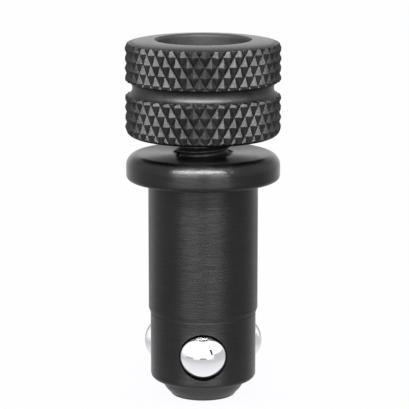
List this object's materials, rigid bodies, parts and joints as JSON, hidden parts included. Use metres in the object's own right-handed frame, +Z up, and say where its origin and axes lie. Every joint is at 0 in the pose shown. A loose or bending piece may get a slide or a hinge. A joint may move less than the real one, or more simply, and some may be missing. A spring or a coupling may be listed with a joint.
{
  "type": "quick clamping bolt",
  "caption": "Quick clamping bolt: a knurled knob screws a cone down through the shank, and the cone drives locking balls out under the plates.",
  "frame": {"origin": "centre of the flat end of the nose, the lowest point", "axes": "+Z up along the bolt's axis from the nose to the knob, -Y towards the first locking ball"},
  "size_m": [0.0226, 0.0226, 0.0525],
  "materials": {
    "black_oxide_steel": "satin black oxide on turned steel",
    "knob_steel": "satin black oxide on knurled steel",
    "polished_ball_steel": "polished",
    "hardened_steel": "ground, dark"
  },
  "bodies": {
    "shank": {"shank_body": "black_oxide_steel", "end_plug": "black_oxide_steel"},
    "cone": {"spreader_cone": "hardened_steel"},
    "knob": {"knurled_knob": "knob_steel", "spindle": "black_oxide_steel", "knob_drive_pin": "hardened_steel", "cone_snap_ring": "hardened_steel"},
    "ball_1": {"locking_ball_1": "polished_ball_steel"},
    "ball_2": {"locking_ball_2": "polished_ball_steel"},
    "ball_3": {"locking_ball_3": "polished_ball_steel"}
  },
  "joints": [
    {"name": "cone_lift", "type": "slide", "parent": "shank", "child": "cone", "axis": [0, 0, 1], "range_m": [-0.00016, 0.00313]},
    {"name": "knob_turn", "type": "hinge", "parent": "cone", "child": "knob", "pos_m": [0, 0, 0.0361], "axis": [0, 0, 1], "range_deg": [-45, 900]},
    {"name": "ball_1_travel", "type": "slide", "parent": "shank", "child": "ball_1", "axis": [0, -1, 0], "range_m": [-0.00181, 0.0001]},
    {"name": "ball_2_travel", "type": "slide", "parent": "shank", "child": "ball_2", "axis": [0.866, 0.5, 0], "range_m": [-0.00181, 0.0001]},
    {"name": "ball_3_travel", "type": "slide", "parent": "shank", "child": "ball_3", "axis": [-0.866, 0.5, 0], "range_m": [-0.00181, 0.0001]}
  ],
  "couplings": [
    {"joint": "knob_turn", "follows": "cone_lift", "rad_per_m": 5026.5},
    {"joint": "ball_1_travel", "follows": "cone_lift", "ratio": -0.57735},
    {"joint": "ball_2_travel", "follows": "cone_lift", "ratio": -0.57735},
    {"joint": "ball_3_travel", "follows": "cone_lift", "ratio": -0.57735}
  ]
}
